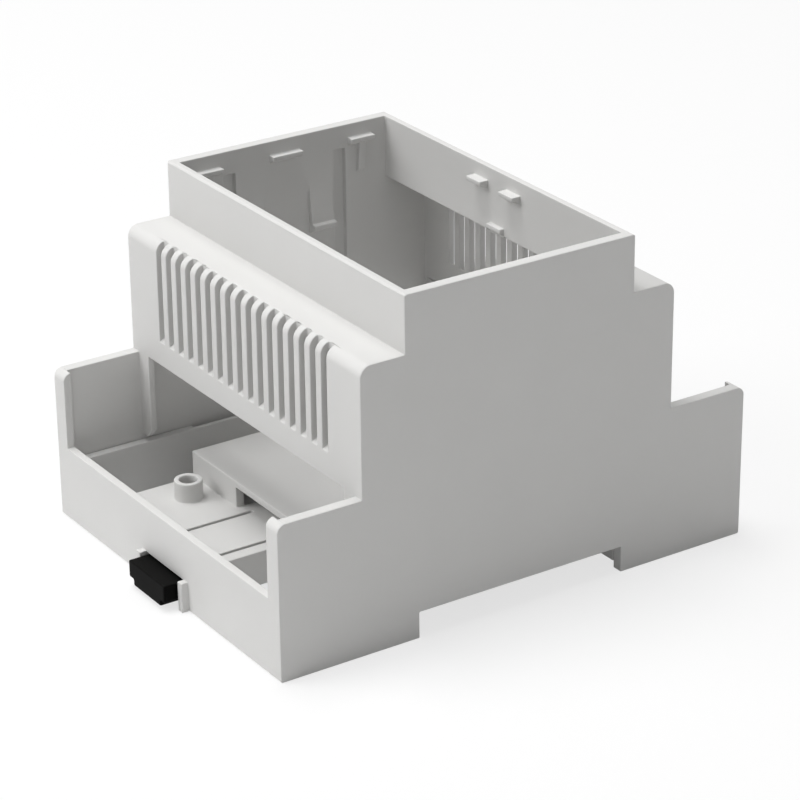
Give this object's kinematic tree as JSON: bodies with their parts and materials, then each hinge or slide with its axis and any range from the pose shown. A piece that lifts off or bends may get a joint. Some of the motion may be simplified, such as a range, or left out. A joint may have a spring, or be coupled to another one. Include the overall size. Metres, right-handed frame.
{
  "type": "din rail enclosure",
  "caption": "Stepped modular enclosure for a 35 mm mounting rail, with an open top, vented shoulders, open terminal bays and a sliding rail clip",
  "frame": {"origin": "middle of the face that sits on the rail", "axes": "+X along the rail, +Y from the clip side to the fixed hooks, +Z away from the rail"},
  "size_m": [0.0716, 0.0935, 0.059],
  "materials": {
    "shell": "light warm grey, fine matte moulding texture",
    "clip": "black, satin"
  },
  "bodies": {
    "enclosure": {"housing": "shell", "base": "shell"},
    "clip": {"rail_clip": "clip"}
  },
  "joints": [
    {"name": "clip_slide", "type": "slide", "parent": "enclosure", "child": "clip", "axis": [0, -1, 0], "range_m": [0, 0.0045]}
  ]
}
